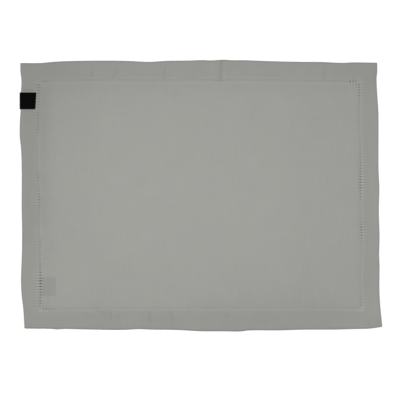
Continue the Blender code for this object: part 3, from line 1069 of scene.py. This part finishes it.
def linen():
    """Plain-woven linen with slubs, with painted shade where it is doubled and over the tab, and the painted
    light and shade its points hold.
    """
    nodes = Nodes("linen", LINEN_COLOR, LINEN_ROUGHNESS, LINEN_SPECULAR)
    nodes.shader.inputs["Sheen Weight"].default_value = LINEN_SHEEN
    nodes.shader.inputs["Sheen Roughness"].default_value = SHEEN_ROUGHNESS
    weave = nodes.plain_weave(YARN_PITCH, YARN_WANDER)
    slubs = nodes.math("ADD", nodes.noise(*UPRIGHT_SLUBS), nodes.noise(*LEVEL_SLUBS))
    over_tab = nodes.math(
        "MULTIPLY",
        nodes.between(nodes.x, -HALF_X, TAB_RIGHT_X, TAB_BLUR),
        nodes.between(nodes.y, TAB_BOTTOM_Y, TAB_TOP_Y, TAB_BLUR),
    )
    tone = nodes.math("MULTIPLY_ADD", slubs, SLUB_TONE, 1.0 - WEAVE_DEPTH_SHADE / 2)
    tone = nodes.math("MULTIPLY_ADD", nodes.noise(*MOTTLING), MOTTLING_TONE, tone)
    tone = nodes.math("MULTIPLY_ADD", weave, WEAVE_DEPTH_SHADE, tone)
    tone = nodes.math("SUBTRACT", tone, nodes.attribute("shade"))
    tone = nodes.math("MULTIPLY_ADD", over_tab, -TAB_SHADE, tone)
    nodes.tint(LINEN_COLOR, tone)
    nodes.bump(nodes.math("MULTIPLY_ADD", slubs, SLUB_RELIEF, weave), *LINEN_BUMP)
    return nodes.material


def sewing_thread():
    """The smooth linen thread of the hemstitching, twisted, with painted light and shade along its twist."""
    nodes = Nodes("sewing_thread", THREAD_COLOR, THREAD_ROUGHNESS, THREAD_SPECULAR)
    aslant = nodes.math("ADD", nodes.x, nodes.math("ADD", nodes.y, nodes.z))
    twist = nodes.bands(aslant, TWIST_PITCH)
    tone = nodes.math("MULTIPLY_ADD", twist, TWIST_LIGHT_AND_SHADE, 1.0)
    nodes.tint(THREAD_COLOR, nodes.math("SUBTRACT", tone, nodes.attribute("shade")))
    nodes.bump(twist, *TWIST_BUMP)
    return nodes.material


def black_weave(name, roughness):
    """Closely woven black yarn with fine ribs, with painted light on the ribs."""
    nodes = Nodes(name, BLACK_COLOR, roughness, BLACK_SPECULAR)
    ribs = nodes.math("ABSOLUTE", nodes.bands(nodes.y, RIB_PITCH))
    yarns = nodes.noise(*BLACK_YARNS)
    tone = nodes.math("MULTIPLY_ADD", ribs, RIB_HIGHLIGHT, BLACK_TONE)
    nodes.tint(BLACK_COLOR, nodes.math("MULTIPLY_ADD", yarns, BLACK_YARN_TONE, tone))
    nodes.bump(nodes.math("MULTIPLY_ADD", yarns, BLACK_YARN_RELIEF, ribs), *BLACK_BUMP)
    return nodes.material


# Stage, light and camera

def make_stage():
    """A plain near-white table top and an even surrounding light."""
    half = FLOOR_SIDE / 2
    mesh = bpy.data.meshes.new("floor")
    corners = [(-half, -half), (half, -half), (half, half), (-half, half)]
    mesh.from_pydata([(x, y, -FLOOR_DROP) for x, y in corners], [], [[0, 1, 2, 3]])
    mesh.materials.append(Nodes("floor_white", FLOOR_COLOR, FLOOR_ROUGHNESS, FLOOR_SPECULAR).material)
    put("floor", mesh)
    world = bpy.data.worlds.new("studio")
    world.use_nodes = True
    sky = world.node_tree.nodes["Background"]
    sky.inputs["Strength"].default_value = WORLD_STRENGTH
    sky.inputs["Color"].default_value = WORLD_COLOR
    bpy.context.scene.world = world


def make_lights():
    """A broad light from beyond the upper left corner, and a long soft lamp above the mat."""
    sun = bpy.data.lights.new("broad_light", "SUN")
    sun.energy = SUN_STRENGTH
    sun.angle = SUN_ANGLE
    put("broad_light", sun).rotation_euler = (-SUN_TILT, 0.0, SUN_TURN)
    lamp = bpy.data.lights.new("soft_lamp", "AREA")
    lamp.energy = LAMP_POWER
    lamp.shape = "RECTANGLE"
    lamp.size, lamp.size_y = LAMP_SIZE
    above = put("soft_lamp", lamp)
    above.location = LAMP_PLACE
    above.visible_camera = False


def make_camera():
    """A camera that looks straight down at the photo's scale."""
    camera = bpy.data.cameras.new("camera")
    camera.lens = LENS
    camera.sensor_width = SENSOR
    camera.sensor_fit = "HORIZONTAL"
    stand = put("camera", camera)
    stand.location = (*VIEW_CENTRE, VIEW_WIDTH * LENS / SENSOR)
    bpy.context.scene.camera = stand
    bpy.context.scene.view_settings.view_transform = "Standard"


def place_piece(piece, node=None):
    """Let a piece ride on the part and, where it stands for a solid, hide that solid."""
    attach(piece, "root")
    if node:
        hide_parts(node)


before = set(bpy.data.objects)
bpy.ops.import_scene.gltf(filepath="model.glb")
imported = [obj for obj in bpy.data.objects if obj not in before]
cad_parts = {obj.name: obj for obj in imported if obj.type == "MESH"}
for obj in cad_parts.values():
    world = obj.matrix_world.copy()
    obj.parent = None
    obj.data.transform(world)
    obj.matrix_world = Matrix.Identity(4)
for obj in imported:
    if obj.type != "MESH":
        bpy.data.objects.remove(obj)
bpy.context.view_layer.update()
make_camera()
make_stage()
make_lights()
cloth = make_cloth(linen())
stitching = make_stitching(sewing_thread())
label_material = black_weave("label_weave", LABEL_ROUGHNESS)
label = make_label(label_material)
tacks = make_tacks(label_material)
tab = make_tab(black_weave("tab_weave", TAB_ROUGHNESS))
place_piece(cloth, "placemat_cloth")
place_piece(stitching)
place_piece(label, "side_label")
place_piece(tacks)
place_piece(tab, "under_tab")
bpy.context.view_layer.update()
